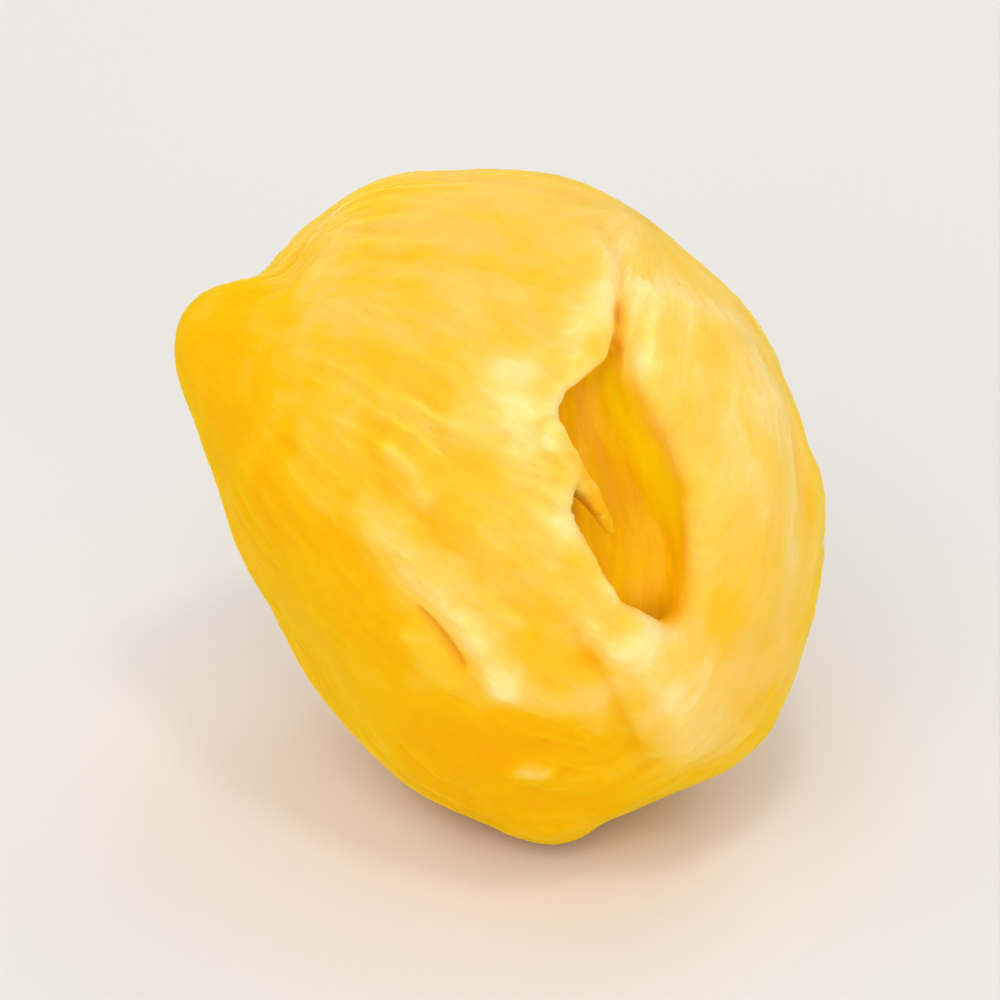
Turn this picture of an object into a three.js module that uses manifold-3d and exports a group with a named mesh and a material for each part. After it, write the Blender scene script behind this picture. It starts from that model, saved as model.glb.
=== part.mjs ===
// A dried, pitted yellow cherry, resting on its underside with the pitting slit facing up and forward.
// Millimetres, +Z up, front towards -Y. The origin is the middle of its footprint, on the resting face.

import * as THREE from "three";
import { mergeVertices } from "three/addons/utils/BufferGeometryUtils.js";
import Module from "manifold-3d";

// Driving dimensions of the flesh
const HALF_WIDTH = 9.97; // X, side to side
const HALF_DEPTH = 9.3; // Y, front to back
const HALF_HEIGHT = 9.85; // Z
const REST_DEPTH = 9.0; // how far the flat resting face lies below the middle of the flesh
const SKIN_DIVISIONS = 16; // icosahedron divisions, which give facets about 0.7 mm across

// Driving dimensions of the pit hole: a slit in the skin that opens into the hollow left by the stone,
// which has sunk in and is shallow
const SLIT_FACING = { azimuth: 27, elevation: 32 }; // the way out of the slit
const SLIT_LEAN = 6; // degrees that the slit's top is turned towards +X
const SLIT_FLOOR = 7.9; // from the middle of the flesh to the depth that the slit is torn to
const STONE_HALF_LENGTH = 3.9;
const STONE_HALF_WIDTH = 2.05;
const STONE_HALF_THICKNESS = 1.4;
const STONE_LEAN = 13; // degrees that the hollow's top is turned back towards -X within the slit
const STONE_SIDE = 0.15; // from the middle of the slit to the middle of the hollow, across the slit
const STONE_OFFSET = 8.1; // from the middle of the flesh to the middle of the hollow, towards the slit
const LIP_DEPTH = 0.08; // thickness of the slit's lips over the hollow, as a share of the flesh's radius
const CLEAR_OF_SKIN = 4; // how far the cutters run past the skin

// The slit's torn rim in its own plane, X across it and Y up its length, from its pointed top down the
// left lip and up the right one
const SLIT_RIM = [
  [1.0, 4.3], [0.15, 3.75], [-1.3, 3.1], [-1.75, 1.9], [-1.5, 0.5], [-1.75, -0.1], [-1.6, -0.95],
  [-1.0, -1.85], [-0.4, -2.8], [0.1, -3.5], [0.75, -3.9], [1.6, -4.05], [2.1, -3.5], [2.2, -2.2],
  [2.1, -1.1], [1.4, 0.9], [1.0, 2.8],
];

// Places on the skin are directions from the middle of the flesh: azimuth in degrees from the front
// towards +X, and elevation in degrees. A swelling has a spread in degrees and a height in mm, which
// is negative for a hollow.
const SWELLINGS = [
  { name: "shoulder nub", azimuth: -103, elevation: 30, spread: 10, height: 1.72 },
  { name: "dip beside the nub", azimuth: -106, elevation: 47, spread: 7, height: -0.8 },
  { name: "notch behind the nub", azimuth: -116, elevation: 37, spread: 4, height: -0.43 },
  { name: "flattened left side", azimuth: -70, elevation: -22, spread: 30, height: -2.57 },
  { name: "blossom end point", azimuth: 18, elevation: -55, spread: 7, height: 0.75 },
  { name: "full lower right", azimuth: 62, elevation: -31, spread: 14, height: 0.82 },
  { name: "full crown", azimuth: -140, elevation: 60, spread: 23, height: 1.03 },
  { name: "full crown on the right", azimuth: 150, elevation: 57, spread: 13, height: 0.36 },
  { name: "dip on the right", azimuth: 98, elevation: 19, spread: 8, height: -0.55 },
  { name: "flattened lower front", azimuth: -32, elevation: -6, spread: 24, height: -0.5 },
  { name: "plump rim right of the slit", azimuth: 54, elevation: 33, spread: 13, height: 0.5 },
  { name: "plump rim left of the slit", azimuth: 3, elevation: 44, spread: 14, height: 0.35 },
  { name: "stem cavity", azimuth: -174, elevation: 9, spread: 12, height: -1.9 },
  { name: "flattened back right", azimuth: 134, elevation: -29, spread: 26, height: -0.7 },
  { name: "flattened back left", azimuth: -144, elevation: -36, spread: 24, height: -0.5 },
];

// Folds of the shrunken skin: each runs through its points of [azimuth, elevation], with a width
// and a height in mm, which is negative for a furrow.
const FOLDS = [
  { name: "front fold", path: [[-25, 26], [-13, 17], [-5, 8], [-1, -1]], width: 0.8, height: 0.4 },
  { name: "sweep of the front fold", path: [[3, -4], [9, -7], [18, -8]], width: 0.8, height: 0.25 },
  { name: "furrow below it", path: [[-18, 13], [-13, 8], [-9, 3], [-6, -2]], width: 0.7, height: -0.3 },
  { name: "closed end of the slit", path: [[43, 57], [62, 65]], width: 0.8, height: -0.3 },
  { name: "flap below the slit", path: [[26, 3], [32, -7], [45, -34]], width: 1.3, height: 0.45 },
  { name: "crease beside the flap", path: [[14, 7], [23, -10], [36, -31]], width: 0.8, height: -0.15 },
  { name: "stem side furrow", path: [[-174, 22], [-168, 48]], width: 1.1, height: -0.5 },
  { name: "stem underside furrow", path: [[178, -6], [168, -34]], width: 1.1, height: -0.45 },
];

const wasm = await Module();
wasm.setup();

const directionAt = (azimuth, elevation) => {
  const turn = THREE.MathUtils.degToRad(azimuth);
  const rise = THREE.MathUtils.degToRad(elevation);
  return new THREE.Vector3(
    Math.sin(turn) * Math.cos(rise),
    -Math.cos(turn) * Math.cos(rise),
    Math.sin(rise),
  );
};

// A closed three.js geometry as a manifold solid
const solidFrom = (geometry) => {
  const bare = geometry.clone();
  bare.deleteAttribute("normal");
  bare.deleteAttribute("uv");
  const welded = mergeVertices(bare, 1e-4);
  const vertProperties = new Float32Array(welded.attributes.position.array);
  const triVerts = new Uint32Array(welded.index.array);
  return new wasm.Manifold(new wasm.Mesh({ numProp: 3, vertProperties, triVerts }));
};

// A manifold solid as a three.js geometry
const geometryFrom = (solid) => {
  const { vertProperties, triVerts } = solid.getMesh();
  const geometry = new THREE.BufferGeometry();
  geometry.setAttribute("position", new THREE.Float32BufferAttribute(vertProperties, 3));
  geometry.setIndex(new THREE.Uint32BufferAttribute(triVerts, 1));
  geometry.computeVertexNormals();
  return geometry;
};

// How much of a swelling is felt in a direction: 1 at its middle, falling off over its spread
const swellingShare = (direction, { azimuth, elevation, spread }) => {
  const middle = directionAt(azimuth, elevation);
  return Math.exp((direction.dot(middle) - 1) / THREE.MathUtils.degToRad(spread) ** 2);
};

// How much of a fold is felt: 1 on its crest line, falling off over its width
const foldShare = (direction, { path, width }) => {
  const nearest = new THREE.Vector3();
  let distance = Infinity;
  for (let i = 1; i < path.length; i += 1) {
    const stretch = new THREE.Line3(directionAt(...path[i - 1]), directionAt(...path[i]));
    stretch.closestPointToPoint(direction, true, nearest);
    distance = Math.min(distance, direction.distanceTo(nearest) * HALF_WIDTH);
  }
  return Math.exp(-((distance / width) ** 2));
};

// Distance from the middle of the flesh to its skin
const skinRadius = (direction) => {
  const { x, y, z } = direction;
  const oval = 1 / Math.hypot(x / HALF_WIDTH, y / HALF_DEPTH, z / HALF_HEIGHT);
  const swollen = SWELLINGS.reduce((sum, s) => sum + s.height * swellingShare(direction, s), oval);
  return FOLDS.reduce((sum, f) => sum + f.height * foldShare(direction, f), swollen);
};

// The whole flesh at a share of its full size, with its middle at the origin and no openings yet
const makeFlesh = (share) => {
  const geometry = new THREE.IcosahedronGeometry(1, SKIN_DIVISIONS);
  const { position } = geometry.attributes;
  const direction = new THREE.Vector3();
  for (let i = 0; i < position.count; i += 1) {
    direction.fromBufferAttribute(position, i).normalize();
    direction.multiplyScalar(share * skinRadius(direction));
    position.setXYZ(i, direction.x, direction.y, direction.z);
  }
  return solidFrom(geometry);
};

// The slit's own axes: X across it, Y up its length, Z out of the fruit
const slitFrame = () => {
  const out = directionAt(SLIT_FACING.azimuth, SLIT_FACING.elevation);
  const across = new THREE.Vector3(0, 0, 1).cross(out).normalize();
  const along = new THREE.Vector3().crossVectors(out, across);
  const frame = new THREE.Matrix4().makeBasis(across, along, out);
  return frame.multiply(new THREE.Matrix4().makeRotationZ(-THREE.MathUtils.degToRad(SLIT_LEAN)));
};

// The slit through the skin: a torn lens shape, pointed above and blunt below
const makeSlitCutter = () => {
  const outline = new THREE.Shape(SLIT_RIM.map(([x, y]) => new THREE.Vector2(x, y)));
  const depth = HALF_WIDTH - SLIT_FLOOR + CLEAR_OF_SKIN;
  const geometry = new THREE.ExtrudeGeometry(outline, { depth, bevelEnabled: false });
  geometry.translate(0, 0, SLIT_FLOOR);
  geometry.applyMatrix4(slitFrame());
  return solidFrom(geometry);
};

// The hollow that the stone left
const makeStoneCutter = () => {
  const geometry = new THREE.SphereGeometry(1, 24, 16);
  geometry.scale(STONE_HALF_WIDTH, STONE_HALF_LENGTH, STONE_HALF_THICKNESS);
  geometry.rotateZ(THREE.MathUtils.degToRad(STONE_LEAN));
  geometry.translate(STONE_SIDE, 0, STONE_OFFSET);
  geometry.applyMatrix4(slitFrame());
  return solidFrom(geometry);
};

// Everything below the flat resting face
const makeRestCutter = () => {
  const size = 2 * HALF_WIDTH + 2 * CLEAR_OF_SKIN;
  const geometry = new THREE.BoxGeometry(size, size, size);
  geometry.translate(0, 0, -REST_DEPTH - size / 2);
  return solidFrom(geometry);
};

// The finished flesh, moved so that the origin is under its middle, on the resting face
const makeCherry = () => {
  const hollow = makeStoneCutter().intersect(makeFlesh(1 - LIP_DEPTH));
  const opened = makeFlesh(1).subtract(hollow.add(makeSlitCutter()));
  const geometry = geometryFrom(opened.subtract(makeRestCutter()));
  geometry.computeBoundingBox();
  const { min, max } = geometry.boundingBox;
  geometry.translate(-(min.x + max.x) / 2, -(min.y + max.y) / 2, -min.z);
  const candied = new THREE.MeshStandardMaterial({ color: "#f5bd36", roughness: 0.42, metalness: 0 });
  const mesh = new THREE.Mesh(geometry, candied);
  mesh.name = "cherry";
  return mesh;
};

const fruit = new THREE.Group();
fruit.add(makeCherry());

export default fruit;
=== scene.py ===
"""A dried, pitted yellow cherry, lying on a pale floor with its pitting slit facing up and forward.

The fruit is one skin. Its large form is a field of distances (flesh, slit, hollow, tongue and
resting face), which is turned into a mesh. Its folds, creases and wrinkles are then raised on that.
Points are in millimetres from the middle of the flesh until the mesh is set in the frame, and
directions are unit vectors from that middle. Places on the skin are (azimuth from the front towards
+X, elevation), in degrees. The slit has axes of its own: across it, along it, and out of the fruit.
"""

import math

import bpy
import numpy as np
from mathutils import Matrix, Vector, noise


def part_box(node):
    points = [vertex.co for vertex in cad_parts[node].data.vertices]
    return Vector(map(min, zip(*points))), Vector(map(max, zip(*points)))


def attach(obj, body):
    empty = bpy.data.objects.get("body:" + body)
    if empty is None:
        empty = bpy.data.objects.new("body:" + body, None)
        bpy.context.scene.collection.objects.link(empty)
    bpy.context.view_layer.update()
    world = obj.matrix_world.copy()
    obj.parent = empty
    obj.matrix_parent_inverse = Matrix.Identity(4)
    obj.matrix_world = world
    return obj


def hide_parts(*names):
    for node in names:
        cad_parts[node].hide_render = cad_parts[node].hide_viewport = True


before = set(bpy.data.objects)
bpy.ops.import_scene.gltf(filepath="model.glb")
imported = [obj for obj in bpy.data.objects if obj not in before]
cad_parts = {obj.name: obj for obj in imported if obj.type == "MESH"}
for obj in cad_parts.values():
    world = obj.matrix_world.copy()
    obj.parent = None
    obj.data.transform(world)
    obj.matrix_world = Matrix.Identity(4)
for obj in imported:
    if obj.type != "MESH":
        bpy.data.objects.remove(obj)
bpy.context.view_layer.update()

FLESH_HALF_SIZE = np.array([9.97, 9.3, 9.85])
MEAN_RADIUS = FLESH_HALF_SIZE.mean()
REST_DEPTH = 9.0  # from the middle of the flesh down to the flat resting face
REST_ROUNDING = 0.9
GRID_STEP = 0.133
GRID_MARGIN = 1.6  # past the flesh's half size, for what swells out of it
BLOCK_STEPS = 4  # grid steps across a block, of which only those near the surface are worked out

# The pit hole: a slit in the skin that opens into the hollow left by the stone
SLIT_FACING = (27, 32)
SLIT_LEAN = 6
SLIT_DEPTH = 1.7
# The slit's torn rim, as (across, along), from its pointed top down the left lip and up the right
SLIT_RIM = [
    (1.02, 4.3), (0.75, 4.0), (0.15, 3.75), (-0.65, 3.5), (-1.3, 3.15), (-1.7, 2.65),
    (-1.75, 1.9), (-1.55, 1.1), (-1.5, 0.5), (-1.75, -0.1), (-1.6, -0.95), (-1.0, -1.85),
    (-0.4, -2.8), (0.1, -3.5), (0.75, -3.9), (1.6, -4.05), (2.1, -3.5), (2.2, -2.2),
    (2.1, -1.1), (1.8, -0.1), (1.4, 0.9), (1.1, 2.0), (0.95, 3.2), (1.0, 3.9),
]
STONE_HALF_SIZE = np.array([2.05, 3.9, 1.4])
STONE_MIDDLE = np.array([0.15, 0, 8.1])
STONE_LEAN = 13
LIP_THICKNESS = 0.75
LIP_BLEND = 0.5  # between the hollow and the lips over it
HOLLOW_BLEND = 0.8  # between the slit and the hollow
NEAR_SLIT = (5, 8)  # how far across and along the slit its distance is worked out
NOT_NEAR = 5.0  # the distance taken elsewhere

# How round the lips are. The right one is roundest at one place along the slit.
LEFT_LIP_ROUNDING = 0.45
RIGHT_LIP_ROUNDING = 1.3
WIDE_LIP_ROUNDING = 2.3
WIDE_LIP_PLACE = 1.3
WIDE_LIP_SPREAD = 1.5
BETWEEN_LIPS = (-1.0, 1.5)  # across the slit, where one rounding gives way to the other

# A torn tongue of flesh inside the left lip: centre line on the slit's axes, and its thickness
TONGUE = [
    (-1.95, 1.95, 9.1), (-1.5, 1.25, 9.0), (-1.0, 0.5, 8.8), (-0.45, -0.35, 8.6),
    (-0.08, -1.0, 8.4),
]
TONGUE_RADIUS = 0.34
TONGUE_HEIGHT = 2.4  # times its radius
TONGUE_TAPER = 0.75
TONGUE_BLEND = 0.35
TONGUE_BLUR = 0.15  # how far from it its colour runs out

# Where the inside turns yellower: this far across the slit at its middle, and less further up
YELLOWED_EDGE = 1.95
YELLOWED_SLANT = 0.35
YELLOWED_BLUR = 0.4

PATH_FADE = 0.22  # share of a path over which a fold or band fades out at either end

# Furrows of the skin, along which shade is also painted into the colour
CLOSED_END = [(36, 51), (42, 56), (50, 61), (62, 65)]
FOLD_CREASE = [(-18, 13), (-13, 8), (-9, 3), (-6, -2)]

NUB = (-103, 30)
STEM = (-174, 9)

# The skin's grain runs out from the nub on the left of the slit, and from past its closed end on
# the right
GRAIN_END = (125, 60)
GRAIN_ACROSS, GRAIN_ALONG = 3.2, 1.1  # how fast the grain changes each way
BETWEEN_GRAINS = (-1.5, 2.5)  # across the slit, where one grain gives way to the other

# Swellings: name, place, spread in degrees, height
SWELLINGS = [
    ("shoulder nub", NUB, 10, 1.72),
    ("dip beside the nub", (-106, 47), 7, -0.8),
    ("notch behind the nub", (-116, 37), 4, -0.43),
    ("flattened left side", (-70, -22), 30, -2.57),
    ("blossom end point", (18, -55), 7, 0.75),
    ("full lower right", (62, -31), 14, 0.82),
    ("full crown", (-140, 60), 23, 1.03),
    ("full crown on the right", (150, 57), 13, 0.36),
    ("dip on the right", (98, 19), 8, -0.55),
    ("flattened lower front", (-32, -6), 24, -0.5),
    ("plump rim right of the slit", (54, 33), 13, 0.5),
    ("plump rim left of the slit", (3, 44), 14, 0.35),
    ("stem cavity", STEM, 12, -1.9),
    ("flattened back right", (134, -29), 26, -0.7),
    ("flattened back left", (-144, -36), 24, -0.5),
]

# Folds: name, path of places, widths to its left and right as seen along it, and height (negative
# for a furrow)
FOLDS = [
    ("closed end of the slit", CLOSED_END, (0.2, 0.2), -0.32),
    ("line past the closed end", [(48, 60), (62, 65), (90, 70), (125, 70)], (0.4, 0.4), -0.2),
    ("crest left of the closed end", [(95, 73), (62, 69), (46, 65), (33, 59)], (0.4, 0.7), 0.2),
    ("crest right of the closed end", [(78, 64), (60, 60), (51, 55), (46, 49)], (0.7, 0.35), 0.25),
    ("left lip crest", [(10, 60), (8, 52), (9, 43), (11, 35), (11, 27), (12, 18)], (0.8, 1.4),
     0.16),
    ("right rim crest", [(85, 62), (75, 49), (66, 34), (57, 20), (50, 7), (44, -3)], (1.7, 1.3),
     0.35),
    ("outer furrow of the right rim", [(92, 50), (82, 34), (72, 18), (63, 2)], (0.8, 0.8), -0.12),
    ("flap below the slit", [(20, 9), (26, 3), (32, -7), (37, -18), (45, -34)], (1.8, 0.7), 0.5),
    ("crease beside the flap", [(14, 7), (19, -2), (23, -10), (28, -20), (36, -31)], (0.4, 0.6),
     -0.11),
    ("front fold", [(-36, 29), (-25, 26), (-13, 17), (-5, 8), (-1, -1), (3, -8)], (0.8, 0.6), 0.34),
    ("sweep of the front fold", [(-2, 3), (3, -4), (9, -7), (16, -8), (25, -8)], (0.9, 0.7), 0.26),
    ("crease under the front fold", FOLD_CREASE, (0.1, 0.26), -0.22),
    ("groove above the front fold", [(-21, 32), (-10, 24), (0, 17), (8, 9)], (0.5, 0.35), -0.14),
    ("fold below the crease", [(-21, 8), (-14, 0), (-7, -7)], (0.6, 0.8), 0.2),
    ("short fold", [(-30, 43), (-21, 38), (-14, 32)], (0.7, 0.45), 0.2),
    ("lower knob", [(1, -25), (7, -27), (13, -28)], (0.5, 0.5), 0.15),
    ("furrow above the stem", [(-174, 20), (-172, 33), (-165, 47), (-150, 58)], (0.6, 0.9), -0.4),
    ("furrow below the stem", [(179, -3), (174, -16), (168, -32), (160, -46)], (0.8, 0.6), -0.4),
    ("fold right of the stem", [(168, 24), (152, 20), (138, 8), (130, -10)], (0.7, 1.1), 0.3),
    ("crease right of the stem", [(166, 14), (152, 8), (142, -4), (138, -18)], (0.5, 0.5), -0.25),
    ("fold left of the stem", [(-158, 14), (-146, 4), (-138, -12), (-134, -30)], (1.1, 0.6), 0.3),
    ("side crease", [(88, -8), (98, -22), (104, -38), (108, -52)], (0.5, 0.9), -0.3),
    ("side fold", [(94, -6), (105, -20), (112, -36)], (0.9, 0.6), 0.25),
    ("crown crease", [(-150, 62), (-170, 70), (150, 72), (128, 62)], (0.5, 0.8), -0.25),
    ("crease under the nub", [(-100, 18), (-104, 4), (-110, -10), (-118, -24)], (0.8, 0.5), -0.35),
]

# Steps, where the flesh stands higher on the left of the path as seen along it (or lower, where the
# height is negative): name, path, width of the edge, fade to either side, height
STEPS = [
    ("edge of the upper front", [(16, 10), (6, 19), (-6, 27), (-22, 36), (-48, 44)], 0.5, 2.2,
     -0.22),
    ("edge of the flap", [(8, 16), (16, 8), (22, -4), (28, -18), (38, -33)], 0.3, 1.3, 0.24),
]

# The scar where the stem came away, in the middle of its cavity
SCAR_RADIUS = 1.1
SCAR_EDGE = (1.4, 0.9)  # from the middle, where its colour begins and is full
SCAR_RING = (0.18, 0.28)  # height and width
SCAR_DEPTH = 0.25
SCAR_FLOOR = 0.2  # radius of the flat middle of the dish
SCAR_PUCKERS = 9
PUCKER_HEIGHT = 0.2
PUCKER_REACH = 3.2
PUCKER_START = 0.6  # from the edge of the scar to where the puckers are full
PUCKER_WANDER = (1.5, 2.5)  # how far they turn aside, and the size of a bend
FAR_FROM_STEM = 9.0  # the distance from the scar taken all over the other side of the fruit

# Lumps and wrinkles all over the skin: height and size of each lump
LUMPS = (0.16, 4.5)
DIMPLES = (0.012, 0.5)
WRINKLES = (0.12, 0.5)
FINE_WRINKLES = (0.05, 0.17)
GRAIN_WARP = (0.5, 5)  # how far the wrinkles wander off the grain, and the size of a bend
# The wrinkles come and go over the skin: size of each area, and the noise over which they grow
WRINKLED = (6, (-0.35, 0.45))
SHRIVELLED = (3.5, (-0.3, 0.4))

# Lumps of the torn inside, narrower across the slit than along it
INNER_LUMPS = (0.12, 1.2)
DRAWN_ALONG_SLIT = [1.5, 0.4, 1.5]

# Depths over which the skin's relief dies away and the inside's begins, and heights over the
# resting face over which both grow
SKIN_ENDS = (0.5, 1.6)
INSIDE_BEGINS = (0.8, 1.8)
OFF_FLOOR = (0.1, 1.3)
EASED_DEPTH = (0.02, 0.15)  # over which the torn edges and the inside are smoothed

# What the colours go by
CREST_HEIGHT = 0.12  # of a fold that counts as a full crest
INSIDE_GRAIN = [1.4, 0.25, 1.4]  # how fast the inside's streaks change along the slit's axes
INSIDE_DEPTH = (0.15, 1.5)  # over which the flesh turns from the outside's colour to the inside's
PALE_LIP_DEPTH = (0.5, 0.9)  # added to those where the right lip is wide
PALE_LIP_ACROSS = (0.2, 1.2)
# width of the painted shade along the darkest creases
CREASE_SHADE_WIDTH = (0.25, 0.25)

# Where shade is painted into the torn flesh, darkening it under the left lip, behind the tongue and
# at the lower end of the hollow. Of each pair, it is unshaded at the first number and shaded at the
# second, across the slit, along it or in depth.
SHADE_DEPTH = (0.3, 0.6)
UNDER_LIP_ACROSS = (-0.6, -1.2)
UNDER_LIP_DEPTH = (1.3, 0.7)
UNDER_LIP_ALONG = (2.4, 1.2)
UPPER_LIP_SHADE = 0.4  # how dark the painted shade still is further up
BEHIND_TONGUE_ACROSS = (0.0, -0.8)
BEHIND_TONGUE_ALONG = -0.3
BEHIND_TONGUE_SPREAD = 0.7
LOWER_END_ALONG = (-2.6, -3.8)
LOWER_END_SHADE = 0.35

# Cloudy, pale patches, which also paint the light: paler on the crown and upper front as painted
# highlight, clearer on the sides and foot as painted shade. Name, place, spread in degrees,
# strength (negative where the flesh is clear)
PALE_PATCHES_AND_PAINTED_LIGHT = [
    # painted highlight: the crown and upper front face the light from above
    ("crown", (-120, 78), 26, 0.08),
    ("crown behind the slit", (105, 74), 18, 0.22),
    ("upper front", (-25, 52), 20, 0.2),
    ("beside the left lip", (4, 50), 7, 0.4),
    ("right edge", (92, 48), 13, 0.25),
    ("lower right edge", (95, 10), 13, 0.3),
    ("right of the slit", (58, 33), 17, 0.45),
    ("lower right", (50, -8), 18, 0.22),
    ("middle of the front", (-4, 24), 10, 0.03),
    ("between the front fold and the slit", (9, 19), 7, 0.26),
    # painted shade: the left side, lower left and foot turn away from the light
    ("clear left side", (-75, 18), 26, -0.42),
    ("clear lower left", (-50, -25), 26, -0.3),
    ("clear foot", (8, -40), 18, -0.3),
    ("clear groove", (13, 1), 6, -0.3),
    ("clear beside the slit", (42, 12), 6, -0.27),
    ("beside the slit's lower left", (13, 12), 5, 0.22),
    ("slit's lower edge", (23, 9), 3, -0.32),
    ("below the left lip", (1, 31), 5, 0.32),
    ("flap's top", (22, 3), 3, 0.28),
    ("seam's right side", (57, 58), 3, -0.15),
    ("top of the upper front", (-22, 63), 10, 0.1),
    ("above the left lip", (12, 66), 6, 0.08),
    ("under the crease", (-16, -6), 4, 0.32),
    ("left of the short streak", (-47, 29), 7, 0.2),
    ("upper right edge", (75, 44), 6, 0.1),
    ("right rim's lower part", (53, 11), 6, 0.12),
    ("inner edge of the right lip", (43, 27), 4, -0.32),
    ("upper part of the right lip", (51, 48), 6, -0.18),
    ("above the closed end", (60, 64), 5, 0.22),
    ("middle of the left lip", (7, 46), 4, -0.15),
    ("behind the nub", (-66, 50), 9, 0.18),
    ("clear foot left of the flap", (4, -16), 8, -0.35),
    ("clear below the front fold", (-21, -2), 6, -0.28),
    ("cloudy back", (-165, 35), 25, 0.4),
]

# Patches where the cloudy flesh is a warmer, peachy tint: name, place, spread in degrees, strength
# (negative where it is less so)
PEACHY = [
    ("crown", (-130, 78), 24, 0.45),
    ("right edge", (98, 28), 20, 0.5),
    ("lower right", (58, -12), 12, 0.35),
    ("back", (-175, 20), 40, 0.4),
    ("closed end of the slit", (50, 60), 10, -0.3),
    ("left lip", (8, 50), 8, -0.25),
]

# Pale bands, most of them painted highlights along the crests of the lips, folds and flap, and on
# the small bump: name, path of places, widths to its left and right, strength
PALE_BANDS_AND_HIGHLIGHTS = [
    ("left lip", [(3, 63), (5, 48), (10, 34), (15, 22)], (0.8, 0.8), 0.34),
    ("right rim", [(66, 52), (55, 38), (50, 27), (47, 14), (42, 3)], (0.9, 1.2), 0.2),
    ("outside of the right rim", [(88, 54), (78, 36), (69, 18), (61, 0), (54, -16)], (0.7, 0.7),
     0.25),
    ("left of the closed end", [(132, 62), (80, 70), (56, 67), (35, 63), (20, 56)], (0.5, 0.8),
     0.3),
    ("right of the closed end", [(80, 66), (55, 60), (42, 49)], (0.5, 0.4), 0.3),
    # painted highlights along the crests of the folds, the flap and the small bump
    ("front fold", [(-35, 28), (-24, 25), (-12, 16), (-4, 7), (0, -2), (4, -9)], (0.9, 0.9), 0.64),
    ("sweep of the front fold", [(-2, 4), (4, -3), (10, -6), (17, -8), (27, -7)], (0.9, 0.8), 0.45),
    ("below the front fold", [(-21, 8), (-14, 0), (-7, -7), (0, -13)], (0.7, 0.7), 0.38),
    ("short streak", [(-28, 42), (-20, 37), (-14, 31)], (0.6, 0.6), 0.35),
    ("flap", [(12, 13), (21, 6), (29, -5), (35, -16), (45, -36)], (1.7, 1.15), 0.53),
    ("small bump", [(3, -26), (7, -27), (11, -28)], (0.45, 0.45), 0.8),
]


def direction_at(azimuth, elevation):
    turn, rise = math.radians(azimuth), math.radians(elevation)
    level = math.cos(rise)
    return np.array([math.sin(turn) * level, -math.cos(turn) * level, math.sin(rise)])


def unit(vectors):
    return vectors / np.maximum(np.linalg.norm(vectors, axis=-1, keepdims=True), 1e-9)


def smoothstep(low, high, value):
    t = np.clip((value - low) / (high - low), 0, 1)
    return t * t * (3 - 2 * t)


def bell(value, spread):
    """1 where value is 0, falling off over the spread."""
    return np.exp(-((value / spread) ** 2))


def smooth_max(a, b, blend):
    overlap = np.maximum(blend - np.abs(a - b), 0) / blend
    return np.maximum(a, b) + overlap**2 * blend / 4


def smooth_path(points, steps=6, closed=False):
    """A Catmull-Rom curve through points, as a list of points close together."""
    points = np.array(points, float)
    count = len(points)
    if closed:
        padded = np.concatenate([points[-1:], points, points[:2]])
    else:
        padded = np.concatenate([points[:1], points, points[-1:]])
    curve = []
    for i in range(count if closed else count - 1):
        a, b, c, d = padded[i : i + 4]
        for t in np.arange(steps) / steps:
            square, cube = 2 * a - 5 * b + 4 * c - d, 3 * b - a - 3 * c + d
            curve.append(0.5 * (2 * b + (c - a) * t + square * t**2 + cube * t**3))
    if not closed:
        curve.append(points[-1])
    return np.array(curve)


# ---- The large form, as a field of signed distances ------------------------------------------

def patches(directions, spots):
    """The sum of soft round spots: name, place, spread in degrees, strength."""
    total = np.zeros(directions.shape[:-1])
    for _, place, spread, strength in spots:
        nearness = directions @ direction_at(*place) - 1
        total = total + strength * np.exp(nearness / math.radians(spread) ** 2)
    return total


def skin_radius(directions):
    """Distance from the middle of the flesh to its skin."""
    oval = 1 / np.linalg.norm(directions / FLESH_HALF_SIZE, axis=-1)
    return oval + patches(directions, SWELLINGS)


def turned_in_plane(degrees):
    """The matrix that turns the slit's axes about the way out of the fruit."""
    turn = math.radians(degrees)
    return np.array([[math.cos(turn), -math.sin(turn), 0],
                     [math.sin(turn), math.cos(turn), 0],
                     [0, 0, 1]])


def slit_axes():
    """Rows: across the slit, up its length, and out of the fruit."""
    out = direction_at(*SLIT_FACING)
    across = unit(np.cross([0, 0, 1], out))
    return turned_in_plane(SLIT_LEAN) @ np.array([across, np.cross(out, across), out])


def outline_distance(x, y, outline):
    """Signed distance in a plane to a closed outline, negative inside."""
    nearest = np.full(x.shape, np.inf)
    inside = np.zeros(x.shape, bool)
    for (ax, ay), (bx, by) in zip(outline, np.roll(outline, -1, axis=0)):
        ex, ey = bx - ax, by - ay
        t = np.clip(((x - ax) * ex + (y - ay) * ey) / (ex * ex + ey * ey), 0, 1)
        nearest = np.minimum(nearest, (x - ax - t * ex) ** 2 + (y - ay - t * ey) ** 2)
        if ay != by:
            inside ^= ((ay > y) != (by > y)) & (x < ax + (y - ay) * ex / ey)
    return np.where(inside, -1, 1) * np.sqrt(nearest)


def throat_distance(local, skin):
    """Signed distance to the slit through the skin, for points on the slit's own axes."""
    near = (np.abs(local[:, :2]) < NEAR_SLIT).all(axis=1) & (local[:, 2] > 2)
    distance = np.full(len(local), NOT_NEAR)
    x, y, _ = local[near].T
    wall = outline_distance(x, y, smooth_path(SLIT_RIM, closed=True))
    distance[near] = smooth_max(wall, -skin[near] - SLIT_DEPTH, HOLLOW_BLEND)
    return distance


def hollow_distance(points, skin):
    """Signed distance to the space inside the fruit: the hollow and the slit through the skin.
    skin is each point's signed distance to the skin, negative inside the fruit."""
    local = points @ slit_axes().T
    centred = (local - STONE_MIDDLE) @ turned_in_plane(STONE_LEAN)
    stretch = np.linalg.norm(centred / STONE_HALF_SIZE, axis=-1)
    stone = smooth_max((stretch - 1) * STONE_HALF_SIZE.min(), skin + LIP_THICKNESS, LIP_BLEND)
    return -smooth_max(-stone, -throat_distance(local, skin), HOLLOW_BLEND)


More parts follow.
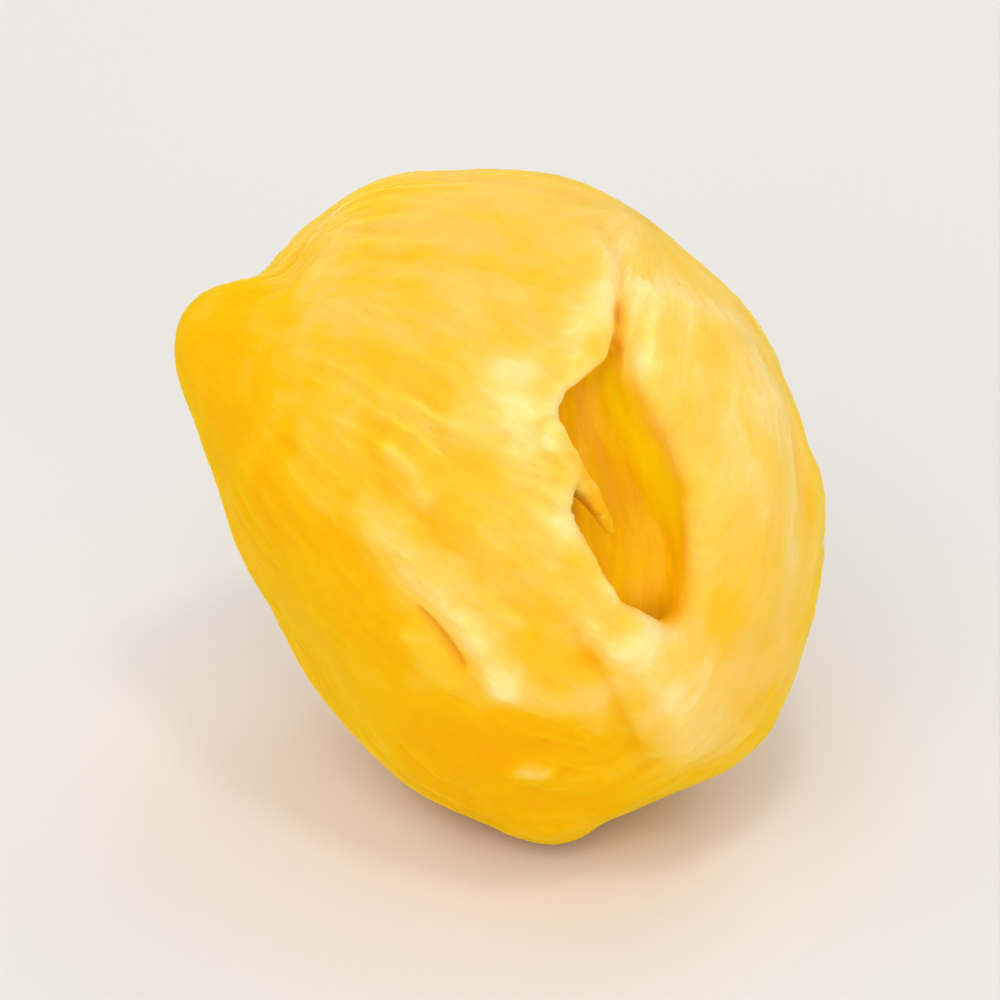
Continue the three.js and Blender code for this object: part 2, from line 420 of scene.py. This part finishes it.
def tongue_distance(points):
    """Signed distance to the torn tongue inside the left lip."""
    flatten = np.array([1, 1, 1 / TONGUE_HEIGHT])
    local = points @ slit_axes().T * flatten
    line = smooth_path(TONGUE) * flatten
    nearest = np.full(len(points), np.inf)
    for i, (a, b) in enumerate(zip(line, line[1:])):
        t = np.clip((local - a) @ (b - a) / ((b - a) @ (b - a)), 0, 1)
        radius = TONGUE_RADIUS * (1 - TONGUE_TAPER * (i + t) / (len(line) - 1))
        gap = np.linalg.norm(local - a - t[:, None] * (b - a), axis=1)
        nearest = np.minimum(nearest, gap - radius)
    return nearest


def lip_rounding(points):
    """How round the edge of the slit is, from its sharp left lip to its plump right one."""
    across, along, _ = slit_axes() @ points.T
    width = bell(along - WIDE_LIP_PLACE, WIDE_LIP_SPREAD)
    right = RIGHT_LIP_ROUNDING + (WIDE_LIP_ROUNDING - RIGHT_LIP_ROUNDING) * width
    return LEFT_LIP_ROUNDING + (right - LEFT_LIP_ROUNDING) * smoothstep(*BETWEEN_LIPS, across)


def flesh_distance(points):
    """Signed distance to the flesh, negative inside it."""
    radius = np.linalg.norm(points, axis=-1)
    skin = radius - skin_radius(points / np.maximum(radius, 1e-6)[:, None])
    opened = smooth_max(skin, -hollow_distance(points, skin), lip_rounding(points))
    opened = -smooth_max(-opened, -tongue_distance(points), TONGUE_BLEND)
    return smooth_max(opened, -points[:, 2] - REST_DEPTH, REST_ROUNDING)


def sampled_field(step):
    """flesh_distance on a grid, as (values, first point). It is worked out for blocks of points,
    and then for each point of the blocks near the surface."""
    block = step * BLOCK_STEPS
    reach = FLESH_HALF_SIZE.max() + GRID_MARGIN
    count = int(math.ceil(2 * reach / block))
    low = -np.full(3, count * block / 2)
    middles = low[0] + block * (np.arange(count) + 0.5)
    rough = np.stack(np.meshgrid(middles, middles, middles, indexing="ij"), -1)
    values = flesh_distance(rough.reshape(-1, 3)).reshape(count, count, count)
    for axis in range(3):
        values = values.repeat(BLOCK_STEPS, axis)
    furthest = 1.2 * block + 0.25  # past a block's corner, as the field isn't quite a distance
    near = np.argwhere(np.abs(values) < furthest)
    first = low + step / 2
    points = first + step * near
    values[tuple(near.T)] = flesh_distance(points)
    return values, first


def surface_net(values, first, step):
    """(points, quads) of the surface where a sampled field is zero: a point to each cell it
    crosses, and a quad round each edge of the grid that it crosses."""
    inside = values < 0
    corners = [(i, j, k) for i in (0, 1) for j in (0, 1) for k in (0, 1)]
    cells = np.array(values.shape) - 1

    def shifted(array, corner):
        i, j, k = corner
        return array[i : i + cells[0], j : j + cells[1], k : k + cells[2]]

    filled = sum(shifted(inside, c).astype(np.int8) for c in corners)
    active = np.argwhere((filled > 0) & (filled < 8))
    index = np.full(tuple(cells), -1)
    index[tuple(active.T)] = np.arange(len(active))
    total, crossings = np.zeros((len(active), 3)), np.zeros(len(active))
    for a in corners:
        for axis in range(3):
            if a[axis]:
                continue
            b = tuple(1 if n == axis else a[n] for n in range(3))
            at_a = values[tuple((active + a).T)]
            at_b = values[tuple((active + b).T)]
            crosses = (at_a < 0) != (at_b < 0)
            share = np.where(crosses, at_a / np.where(crosses, at_a - at_b, 1), 0)
            point = np.array(a) + share[:, None] * (np.array(b) - a)
            total += point * crosses[:, None]
            crossings += crosses
    points = first + step * (active + total / crossings[:, None])
    quads = []
    for axis in range(3):
        ahead = np.eye(3, dtype=int)[axis]
        side, up = (np.eye(3, dtype=int)[(axis + turn) % 3] for turn in (1, 2))
        start = tuple(slice(1, n - h) for n, h in zip(values.shape, ahead))
        end = tuple(slice(1 + h, n) for n, h in zip(values.shape, ahead))
        changed = np.argwhere(inside[start] != inside[end]) + 1
        ring = [index[tuple((changed - shift).T)] for shift in (0 * side, side, side + up, up)]
        quad = np.stack(ring, axis=1)
        outward = inside[tuple(changed.T)]
        quads.append(np.where(outward[:, None], quad, quad[:, ::-1]))
    return points, np.concatenate(quads)


def field_slope(points):
    """Outward direction of the flesh's surface near each point."""
    small = 0.05
    slope = [flesh_distance(points + small * axis) - flesh_distance(points - small * axis)
             for axis in np.eye(3)]
    return np.stack(slope, axis=1) / (2 * small)


def settle(points, rounds=2):
    """Moves points onto the surface itself."""
    least, furthest = 0.05, 0.2
    for _ in range(rounds):
        slope = field_slope(points)
        steepness = np.maximum((slope**2).sum(axis=1), least)
        step = np.clip(flesh_distance(points) / steepness, -furthest, furthest)
        points = points - slope * step[:, None]
    return points


# ---- Folds and wrinkles raised on the skin ---------------------------------------------------

def across_path(directions, path):
    """For a path over the skin: the distance to it, 1 on its left or -1 on its right, and a share
    that fades out towards its ends."""
    line = unit(smooth_path([direction_at(*place) for place in path]))
    nearest = np.full(len(directions), np.inf)
    along, side = np.zeros(len(directions)), np.zeros(len(directions))
    for i in range(len(line) - 1):
        a, b = line[i], line[i + 1]
        t = np.clip((directions - a) @ (b - a) / ((b - a) @ (b - a)), 0, 1)
        gap = np.linalg.norm(directions - a - t[:, None] * (b - a), axis=1) * MEAN_RADIUS
        closer = gap < nearest
        nearest = np.where(closer, gap, nearest)
        along = np.where(closer, (i + t) / (len(line) - 1), along)
        side = np.where(closer, np.sign(directions @ np.cross(a, b)), side)
    return nearest, side, smoothstep(0, PATH_FADE, np.minimum(along, 1 - along))


def fold_height(directions, path, widths, height):
    """A rounded ridge or furrow along a path."""
    distance, side, ends = across_path(directions, path)
    width = np.where(side > 0, *widths)
    return height * ends * bell(distance, width)


def step_height(directions, path, width, fade, height):
    """A step along a path: higher on its left, lower on its right, fading away from it."""
    distance, side, ends = across_path(directions, path)
    return height * ends * side * np.tanh(distance / width) * np.exp(-distance / fade)


def round_stem(directions):
    """(distance from the middle of the stem's scar, turn about it)."""
    out = direction_at(*STEM)
    side = unit(np.cross([0, 0, 1], out))
    across, along = directions @ side, directions @ np.cross(out, side)
    reach = np.hypot(across, along) * MEAN_RADIUS
    return np.where(directions @ out > 0, reach, FAR_FROM_STEM), np.arctan2(along, across)


def stem_height(directions, wander):
    """The stem's scar: a low ring round a shallow dish, with puckers running out from it."""
    reach, turn = round_stem(directions)
    ring_height, ring_width = SCAR_RING
    ring = ring_height * bell(reach - SCAR_RADIUS, ring_width)
    dish = -SCAR_DEPTH * smoothstep(SCAR_RADIUS, SCAR_FLOOR, reach)
    pucker = 1 - 2 * np.abs(np.sin(SCAR_PUCKERS * turn / 2 + wander))
    begun = smoothstep(SCAR_RADIUS, SCAR_RADIUS + PUCKER_START, reach)
    fade = begun * bell(reach, PUCKER_REACH)
    return ring + dish + PUCKER_HEIGHT * pucker * fade


def cloudiness_and_painted_light(directions):
    """How pale and cloudy the flesh is, about -1 to 1, with painted highlights on the tops and
    crests and painted shade on the sides.
    """
    bands = sum(fold_height(directions, *band) for _, *band in PALE_BANDS_AND_HIGHLIGHTS)
    return patches(directions, PALE_PATCHES_AND_PAINTED_LIGHT) + bands


def noise_at(points, size, octaves=1, seed=0):
    """Smooth noise between about -1 and 1, its lumps about size across."""
    shift = Vector((7.3 * seed, 3.1 * seed, 5.7 * seed))
    values = [noise.fractal(Vector(p) / size + shift, 0.8, 2.0, octaves) for p in points]
    return np.array(values)


def grain_of(directions, place):
    """Where each direction lies on a grain that runs out from a place and round the fruit. It
    changes fast across the grain and slowly along it."""
    pole = direction_at(*place)
    side = unit(np.cross(pole, [0, 0, 1]))
    other = np.cross(pole, side)
    turn = np.arctan2(directions @ other, directions @ side)
    fall = np.arccos(np.clip(directions @ pole, -1, 1))
    return np.stack([GRAIN_ACROSS * np.cos(turn), GRAIN_ACROSS * np.sin(turn), GRAIN_ALONG * fall],
                    axis=1)


def rim_share(points):
    """0 on the left of the slit, where the grain runs out from the nub, and 1 on its right."""
    return smoothstep(*BETWEEN_GRAINS, points @ slit_axes()[0])


def painted_shade_share(points, depth):
    """1 where shade is painted into the torn flesh: under the left lip, behind the tongue and, less
    so, at the lower end."""
    across, along, _ = slit_axes() @ points.T
    lower = smoothstep(*UNDER_LIP_ALONG, along)
    under_lip = smoothstep(*UNDER_LIP_ACROSS, across) * smoothstep(*UNDER_LIP_DEPTH, depth)
    under_lip *= UPPER_LIP_SHADE + (1 - UPPER_LIP_SHADE) * lower
    behind_tongue = bell(along - BEHIND_TONGUE_ALONG, BEHIND_TONGUE_SPREAD)
    behind_tongue *= smoothstep(*BEHIND_TONGUE_ACROSS, across) * (1 - tongue_share(points))
    lower_end = LOWER_END_SHADE * smoothstep(*LOWER_END_ALONG, along)
    deepest_shade = np.maximum.reduce([under_lip, behind_tongue, lower_end])
    return smoothstep(*SHADE_DEPTH, depth) * deepest_shade


def inside_share(points, depth):
    """1 where the flesh shows its amber inside. The wide part of the right lip stays pale further
    in."""
    across, along, _ = slit_axes() @ points.T
    pale = smoothstep(*PALE_LIP_ACROSS, across) * bell(along - WIDE_LIP_PLACE, WIDE_LIP_SPREAD)
    begins, ends = (at + more * pale for at, more in zip(INSIDE_DEPTH, PALE_LIP_DEPTH))
    return smoothstep(begins, ends, depth)


def yellowed_share(points):
    """1 where the inside is yellower: to the right of a line that runs down the hollow."""
    across, along, _ = slit_axes() @ points.T
    past_edge = across - YELLOWED_EDGE + YELLOWED_SLANT * along
    return smoothstep(-YELLOWED_BLUR, YELLOWED_BLUR, past_edge)


def tongue_share(points):
    """1 on the torn tongue."""
    return smoothstep(TONGUE_BLUR, 0, tongue_distance(points))


def crease_shade_share(directions):
    """1 along the two creases where shade is painted darkest into the skin's colour."""
    return np.maximum(fold_height(directions, CLOSED_END, CREASE_SHADE_WIDTH, 1),
                      fold_height(directions, FOLD_CREASE, CREASE_SHADE_WIDTH, 1))


def lumps(points, relief, seed):
    """Lumps of a (height, size)."""
    height, size = relief
    return height * noise_at(points, size, 2, seed)


def wrinkles(points, directions, relief, seed):
    """Sharp-crested wrinkles of a (height, size) along the grain."""
    height, size = relief
    far, bend = GRAIN_WARP
    warp = far * np.stack([noise_at(points, bend, seed=s) for s in (1, 2, 3)], axis=1)
    left = noise_at(grain_of(directions, NUB) + warp, size, 2, seed)
    right = noise_at(grain_of(directions, GRAIN_END) + warp, size, 2, seed)
    share = rim_share(points)
    return height * (share * (1 - 2 * np.abs(right)) + (1 - share) * (1 - 2 * np.abs(left)))


def area_share(points, area, seed):
    """1 in some areas of the skin and 0 in others: their (size, the noise over which it grows)."""
    size, growth = area
    return smoothstep(*growth, noise_at(points, size, seed=seed))


def raised(points):
    """The points with every fold, wrinkle and dent of the skin raised on them."""
    outward = unit(field_slope(points))
    radius = np.linalg.norm(points, axis=1)
    directions = points / radius[:, None]
    depth = skin_radius(directions) - radius
    on_skin = 1 - smoothstep(*SKIN_ENDS, depth)
    off_floor = smoothstep(*OFF_FLOOR, points[:, 2] + REST_DEPTH)
    height = np.zeros(len(points))
    for _, *fold in FOLDS:
        height += fold_height(directions, *fold)
    for _, *step in STEPS:
        height += step_height(directions, *step)
    wander, bend = PUCKER_WANDER
    height += stem_height(directions, wander * noise_at(points, bend, seed=11))
    wrinkled = area_share(points, WRINKLED, seed=7)
    shrivelled = area_share(points, SHRIVELLED, seed=8)
    height += lumps(points, LUMPS, seed=5) + lumps(points, DIMPLES, seed=10)
    height += wrinkled * wrinkles(points, directions, WRINKLES, seed=4)
    height += shrivelled * wrinkles(points, directions, FINE_WRINKLES, seed=9)
    torn = lumps(points @ slit_axes().T * DRAWN_ALONG_SLIT, INNER_LUMPS, seed=6)
    height = height * on_skin + torn * smoothstep(*INSIDE_BEGINS, depth)
    return points + outward * (height * off_floor)[:, None]


def ring_average(values, ends, count):
    """The mean of each point's neighbours, along the mesh's edges."""
    total = np.zeros((count,) + values.shape[1:])
    degree = np.bincount(ends.ravel(), minlength=count)
    for a, b in ((0, 1), (1, 0)):
        np.add.at(total, ends[:, a], values[ends[:, b]])
    return total / np.maximum(degree, 1).reshape((-1,) + (1,) * (values.ndim - 1))


def eased(points, quads, share, rounds=3):
    """Smooths the points by their share, without shrinking the form."""
    ends = np.concatenate([quads[:, [a, (a + 1) % 4]] for a in range(4)])
    for pull in (0.5, -0.52) * rounds:
        moved = ring_average(points, ends, len(points)) - points
        points = points + pull * share[:, None] * moved
    return points


def fold_signal(mesh, points, spread=12):
    """Positive on crests and negative in furrows, about -1 to 1: how far the points stand out from
    the mesh smoothed spread times."""
    ends = np.zeros(len(mesh.edges) * 2, int)
    mesh.edges.foreach_get("vertices", ends)
    ends = ends.reshape(-1, 2)
    normals = np.zeros(len(points) * 3)
    mesh.vertices.foreach_get("normal", normals)
    normals = normals.reshape(-1, 3)
    smoothed = points
    for _ in range(spread):
        smoothed = ring_average(smoothed, ends, len(points))
    signal = ((points - smoothed) * normals).sum(axis=1)
    for _ in range(spread // 4):
        signal = ring_average(signal, ends, len(points))
    return signal / CREST_HEIGHT


def in_frame(points):
    """Millimetres to metres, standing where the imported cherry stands."""
    low, high = (np.array(corner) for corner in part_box("cherry"))
    scale = (high[0] - low[0]) / (points[:, 0].max() - points[:, 0].min())
    placed = points * scale
    middle = (placed.max(axis=0) + placed.min(axis=0)) / 2
    shift = (low + high) / 2 - middle
    shift[2] = low[2] - placed[:, 2].min()
    return placed + shift


def add_attribute(mesh, name, values):
    kind, field = ("FLOAT", "value") if values.ndim == 1 else ("FLOAT_VECTOR", "vector")
    attribute = mesh.attributes.new(name, kind, "POINT")
    attribute.data.foreach_set(field, values.astype(np.float32).ravel())


def make_cherry():
    """The cherry's one mesh, with the measures that its material is coloured by."""
    values, first = sampled_field(GRID_STEP)
    points, quads = surface_net(values, first, GRID_STEP)
    points = settle(points)
    directions = unit(points)
    depth = skin_radius(directions) - np.linalg.norm(points, axis=1)
    points = eased(raised(points), quads, smoothstep(*EASED_DEPTH, depth))
    placed = in_frame(points)
    mesh = bpy.data.meshes.new("cherry_flesh")
    mesh.from_pydata(placed.tolist(), [], quads.tolist())
    mesh.update()
    mesh.polygons.foreach_set("use_smooth", [True] * len(mesh.polygons))
    from_stem, _ = round_stem(directions)
    attributes = {
        "grain": grain_of(directions, NUB),
        "rim grain": grain_of(directions, GRAIN_END),
        "rim": rim_share(points),
        "crest": fold_signal(mesh, points),
        "inside": inside_share(points, depth),
        "inside grain": points @ slit_axes().T * INSIDE_GRAIN,
        "painted_shade": painted_shade_share(points, depth),
        "crease shade": crease_shade_share(directions),
        "yellowed": yellowed_share(points),
        "tongue": tongue_share(points),
        "cloud_and_painted_light": cloudiness_and_painted_light(directions),
        "peach": patches(directions, PEACHY),
        "scar": smoothstep(*SCAR_EDGE, from_stem),
    }
    for name, values in attributes.items():
        add_attribute(mesh, name, values)
    cherry = bpy.data.objects.new("cherry_flesh", mesh)
    bpy.context.scene.collection.objects.link(cherry)
    return cherry


# ---- Materials -------------------------------------------------------------------------------

class Shader:
    """A material's node tree, with short ways to add and join nodes."""

    def __init__(self, name):
        self.material = bpy.data.materials.new(name)
        self.material.use_nodes = True
        self.tree = self.material.node_tree
        self.surface = self.tree.nodes["Principled BSDF"]

    def set(self, node, values):
        for socket, value in values.items():
            if isinstance(value, bpy.types.NodeSocket):
                self.tree.links.new(value, node.inputs[socket])
            else:
                node.inputs[socket].default_value = value

    def add(self, kind, inputs=None, **settings):
        node = self.tree.nodes.new(kind)
        for name, value in settings.items():
            setattr(node, name, value)
        self.set(node, inputs or {})
        return node

    def attribute(self, name, output="Fac"):
        return self.add("ShaderNodeAttribute", attribute_name=name).outputs[output]

    def remap(self, value, effect):
        """The effect of a value: two values between which it changes, and the effect at either."""
        low, high, at_low, at_high = effect
        sockets = {"Value": value, "From Min": low, "From Max": high, "To Min": at_low,
                   "To Max": at_high}
        node = self.add("ShaderNodeMapRange", sockets, interpolation_type="SMOOTHSTEP")
        return node.outputs["Result"]

    def noise(self, vector, scale, detail=3.0, roughness=0.5, distortion=0.0):
        sockets = {"Vector": vector, "Scale": scale, "Detail": detail, "Roughness": roughness,
                   "Distortion": distortion}
        return self.add("ShaderNodeTexNoise", sockets).outputs["Fac"]

    def math(self, operation, a, b):
        node = self.add("ShaderNodeMath", operation=operation)
        self.set(node, {0: a, 1: b})
        return node.outputs[0]

    def total(self, values):
        result = values[0]
        for value in values[1:]:
            result = self.math("ADD", result, value)
        return result

    def blend(self, share, a, b):
        node = self.add("ShaderNodeMix", data_type="FLOAT")
        self.set(node, {0: share, 2: a, 3: b})
        return node.outputs[0]

    def mix(self, share, a, b):
        node = self.add("ShaderNodeMix", data_type="RGBA")
        self.set(node, {0: share, 6: a, 7: b})
        return node.outputs[2]

    def ramp(self, value, stops):
        """Colours between the stops, each of which is (value, colour)."""
        low, high = stops[0][0], stops[-1][0]
        share = self.math("DIVIDE", self.math("SUBTRACT", value, low), high - low)
        node = self.add("ShaderNodeValToRGB", {"Fac": share})
        elements = node.color_ramp.elements
        while len(elements) < len(stops):
            elements.new(1.0)
        for element, (position, colour) in zip(elements, stops):
            element.position = (position - low) / (high - low)
            element.color = colour
        return node.outputs["Color"]


# Colours of the outside, from the clearest flesh to the cloudiest, then of the marks on it. The
# clear golds also serve as painted shade on the sides, and the pale creams as painted highlight on
# the tops and crests.
DEEP_GOLD = (0.95, 0.42, 0.0005, 1)
GOLD = (0.98, 0.475, 0.001, 1)
STRAW = (0.98, 0.53, 0.026, 1)
CREAM = (0.98, 0.6, 0.112, 1)
MILK = (0.98, 0.73, 0.3, 1)
MILK_AND_LIGHT_RAMP = [(-0.35, DEEP_GOLD), (0.0, GOLD), (0.3, STRAW), (0.65, CREAM), (1.0, MILK)]
MILK_AND_LIGHT_INSIDE = 0.1  # how much of the cloudiness and its painted light shows in the torn inside
PEACH = (0.96, 0.49, 0.11, 1)
# painted shade, laid in the furrows and along the darkest creases
FURROW_SHADE = (0.82, 0.45, 0.03, 1)
SCAR = (0.48, 0.23, 0.03, 1)
# Colours of the torn inside
AMBER = (0.93, 0.53, 0.0003, 1)
DARK_AMBER = (0.87, 0.46, 0.0003, 1)
YELLOWED = (0.94, 0.66, 0.002, 1)
# painted shade, laid under the left lip, behind the tongue and at the hollow's lower end
HOLLOW_SHADE = (0.48, 0.25, 0.002, 1)
TORN = (1.0, 0.37, 0.001, 1)

# Scales of the material's noise, in lumps per metre
CLOUD_SCALE = 380
BLUSH_SCALE = 420
FLECK_SCALE = 1300
FINE_SCALE = 2600
# Scales of the noise along the grain, in lumps per unit of the grain's own measure
STREAK_SCALE = 2.2
FIBRE_SCALE = 7.0
PORE_SCALE = 14
INSIDE_SCALE = 1.3
# What each measure or noise does: the two values of it between which the effect changes, and the
# effect at either. These add to the cloudiness and to the light painted into it.
CLOUD_EFFECT = (0.33, 0.7, -0.02, 0.3)
FLECK_EFFECT = (0.35, 0.65, -0.03, 0.05)
STREAK_EFFECT = (0.33, 0.7, -0.08, 0.1)
FIBRE_EFFECT = (0.42, 0.66, -0.02, 0.07)
# Painted highlight on the crests and painted shade in the furrows
CREST_HIGHLIGHT_EFFECT = (0.1, 1.5, 0.0, 0.3)
FURROW_SHADE_EFFECT = (0.0, -1.0, 0.0, -0.3)
# These are shares of a colour that is laid over another.
BLUSH_SHARE = (0.45, 0.7, 0.0, 0.15)
PEACH_SHARE = (0.0, 0.5, 0.0, 1.0)
FURROW_SHADE_SHARE = (-0.5, -2.0, 0.0, 0.8)
CREASE_SHADE_SHARE = (0.1, 1.0, 0.0, 0.7)
DARK_AMBER_SHARE = (0.42, 0.62, 0.0, 1.0)
HOLLOW_SHADE_SHARE = (0.0, 1.0, 0.0, 0.8)
SCAR_SHARE = (0.3, 0.7, 0.35, 0.9)
# Cloudy flesh is less glossy than clear flesh.
ROUGHNESS = (0.0, 0.8, 0.3, 0.5)

BUMP_HEIGHT = 0.00008  # m, of the pores and the fine roughness
BUMP_STRENGTH = 0.4
SCATTER_DISTANCE = 0.0013  # m, that red light travels inside the flesh
SCATTER_BY_COLOUR = (1.0, 0.65, 0.3)  # how far red, green and blue light go, as shares of it


def grained_noise(shader, scale, **settings):
    """Noise drawn out along the grain, which runs one way left of the slit and another right."""
    left = shader.noise(shader.attribute("grain", "Vector"), scale, **settings)
    right = shader.noise(shader.attribute("rim grain", "Vector"), scale, **settings)
    return shader.blend(shader.attribute("rim"), left, right)


def milkiness_and_painted_light(shader, place, flecks):
    """How cloudy the flesh is, from about -0.35 where it is clearest to 1: by place, by chance and
    by its folds, with light painted in: paler on the tops and crests as painted highlight, and
    clearer on the sides and in the furrows as painted shade."""
    crest = shader.attribute("crest")
    clouds = shader.noise(place, CLOUD_SCALE, distortion=0.5)
    streaks = grained_noise(shader, STREAK_SCALE, distortion=0.5)
    fibres = grained_noise(shader, FIBRE_SCALE, detail=2.0, distortion=0.8)
    # cloudiness together with the painted highlight and shade
    milk_and_light = shader.total([
        shader.attribute("cloud_and_painted_light"),
        shader.remap(clouds, CLOUD_EFFECT),
        shader.remap(flecks, FLECK_EFFECT),
        shader.remap(streaks, STREAK_EFFECT),
        shader.remap(fibres, FIBRE_EFFECT),
        shader.remap(crest, CREST_HIGHLIGHT_EFFECT),
        shader.remap(crest, FURROW_SHADE_EFFECT),
    ])
    shown = shader.blend(shader.attribute("inside"), 1.0, MILK_AND_LIGHT_INSIDE)
    return shader.math("MULTIPLY", milk_and_light, shown)


def outside_colour(shader, place, milk_and_light):
    """Gold where the flesh is clear and cream where it is cloudy, with painted highlight and shade
    in both, a blush, and painted shade in the furrows and along the darkest creases.
    """
    colour = shader.ramp(milk_and_light, MILK_AND_LIGHT_RAMP)
    blush = shader.noise(place, BLUSH_SCALE, detail=2.0, distortion=0.4)
    peach = shader.math("ADD", shader.attribute("peach"), shader.remap(blush, BLUSH_SHARE))
    peach = shader.math("MULTIPLY", peach, shader.remap(milk_and_light, PEACH_SHARE))
    colour = shader.mix(peach, colour, PEACH)
    # painted shade in the furrows
    colour = shader.mix(shader.remap(shader.attribute("crest"), FURROW_SHADE_SHARE), colour, FURROW_SHADE)
    # painted shade along the closed end and under the front fold
    crease_shade = shader.remap(shader.attribute("crease shade"), CREASE_SHADE_SHARE)
    return shader.mix(crease_shade, colour, FURROW_SHADE)


def inside_colour(shader):
    """Streaky amber, yellower to the right."""
    grain = shader.attribute("inside grain", "Vector")
    streaks = shader.noise(grain, INSIDE_SCALE, distortion=0.6)
    amber = shader.mix(shader.remap(streaks, DARK_AMBER_SHARE), AMBER, DARK_AMBER)
    return shader.mix(shader.attribute("yellowed"), amber, YELLOWED)


def flesh_colour(shader, place, milk_and_light, flecks):
    """The outside and the inside, with the tongue, the painted shade under the left lip, behind the
    tongue and at the lower end, and the scar over them.
    """
    colour = outside_colour(shader, place, milk_and_light)
    colour = shader.mix(shader.attribute("inside"), colour, inside_colour(shader))
    colour = shader.mix(shader.attribute("tongue"), colour, TORN)
    # painted shade in the hollow
    painted_shade = shader.remap(shader.attribute("painted_shade"), HOLLOW_SHADE_SHARE)
    colour = shader.mix(painted_shade, colour, HOLLOW_SHADE)
    speckled = shader.remap(flecks, SCAR_SHARE)
    return shader.mix(shader.math("MULTIPLY", shader.attribute("scar"), speckled), colour, SCAR)


def fine_bump(shader, place):
    """Pores along the grain and a fine roughness, too small to be modelled."""
    fine = shader.noise(place, FINE_SCALE, roughness=0.6)
    pores = grained_noise(shader, PORE_SCALE, roughness=0.55)
    height = shader.math("ADD", fine, pores)
    sockets = {"Height": height, "Strength": BUMP_STRENGTH, "Distance": BUMP_HEIGHT}
    return shader.add("ShaderNodeBump", sockets).outputs["Normal"]


def candied_flesh():
    """Cloudy, sugary flesh that lets light through, with a soft gloss, and with highlights and
    shade painted into its colour.
    """
    shader = Shader("candied_flesh")
    place = shader.add("ShaderNodeTexCoord").outputs["Object"]
    flecks = shader.noise(place, FLECK_SCALE, detail=2.0, distortion=0.5)
    milk_and_light = milkiness_and_painted_light(shader, place, flecks)
    shader.set(shader.surface, {
        "Base Color": flesh_colour(shader, place, milk_and_light, flecks),
        "Roughness": shader.remap(milk_and_light, ROUGHNESS),
        "Normal": fine_bump(shader, place),
        "IOR": 1.42,
        "Specular IOR Level": 0.0,
        "Subsurface Weight": 1.0,
        "Subsurface Radius": SCATTER_BY_COLOUR,
        "Subsurface Scale": SCATTER_DISTANCE,
        "Coat Weight": 0.035,
        "Coat Roughness": 0.13,
        "Coat IOR": 2.2,
        "Sheen Weight": 0.9,
        "Sheen Roughness": 0.2,
        "Sheen Tint": (1.0, 0.62, 0.06, 1),
    })
    return shader.material


def pale_floor():
    shader = Shader("pale_floor")
    shader.set(shader.surface, {"Base Color": FLOOR_COLOUR, "Roughness": 0.6})
    return shader.material


# ---- Stage, light and camera -----------------------------------------------------------------

# Lights: name, place, distance and width in sizes of the fruit, power in watts
LIGHTS = [
    ("key", (20, 71), 8, 1.3, 0.09),
    ("back", (150, 40), 9, 5, 0.1),
    ("fill", (-20, 40), 9, 8, 0.285),
    ("low front", (28, 16), 9, 5, 0.13),
    ("left", (-80, 20), 9, 5, 0.02),
    ("left back", (-135, 22), 9, 4, 0.1),
]
STUDIO_COLOUR = (1, 0.99, 0.97, 1)
STUDIO_STRENGTH = 0.7
FLOOR_COLOUR = (0.76, 0.75, 0.73, 1)
FLOOR_WIDTH = 40  # in sizes of the fruit
CAMERA_PLACE = (0, 30.6)
CAMERA_DISTANCE = 16  # in sizes of the fruit
VIEW_WIDTH = 0.92  # what the camera sees across the fruit's middle, in sizes of the fruit
NEAREST_SEEN = 0.01  # m from the camera: the fruit is small, so it may be looked at closely


def add_floor(middle, size, low):
    place = (middle.x, middle.y, low.z)
    bpy.ops.mesh.primitive_plane_add(size=FLOOR_WIDTH * size, location=place)
    floor = bpy.context.object
    floor.name = "floor"
    floor.data.materials.append(pale_floor())


def aim(name, data, place, distance, middle):
    """Adds a light or camera at a place seen from the middle of the fruit, facing that middle."""
    outward = Vector(direction_at(*place))
    thing = bpy.data.objects.new(name, data)
    thing.location = middle + distance * outward
    thing.rotation_euler = outward.to_track_quat("Z", "Y").to_euler()
    bpy.context.scene.collection.objects.link(thing)
    return thing


def add_lights(middle, size):
    for name, place, distance, width, power in LIGHTS:
        data = bpy.data.lights.new(name, "AREA")
        data.shape = "DISK"
        data.size = width * size
        data.energy = power
        aim(name, data, place, distance * size, middle)
    world = bpy.data.worlds.new("studio")
    world.use_nodes = True
    background = world.node_tree.nodes["Background"]
    background.inputs["Color"].default_value = STUDIO_COLOUR
    background.inputs["Strength"].default_value = STUDIO_STRENGTH
    bpy.context.scene.world = world


def add_camera(middle, size):
    data = bpy.data.cameras.new("camera")
    data.lens = data.sensor_width * CAMERA_DISTANCE / VIEW_WIDTH
    data.clip_start = NEAREST_SEEN
    camera = aim("camera", data, CAMERA_PLACE, CAMERA_DISTANCE * size, middle)
    bpy.context.scene.camera = camera


def main():
    low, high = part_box("cherry")
    middle, size = (low + high) / 2, (high - low).length
    cherry = make_cherry()
    cherry.data.materials.append(candied_flesh())
    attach(cherry, "root")
    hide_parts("cherry")
    add_floor(middle, size, low)
    add_lights(middle, size)
    add_camera(middle, size)
    bpy.context.scene.view_settings.view_transform = "Standard"


main()
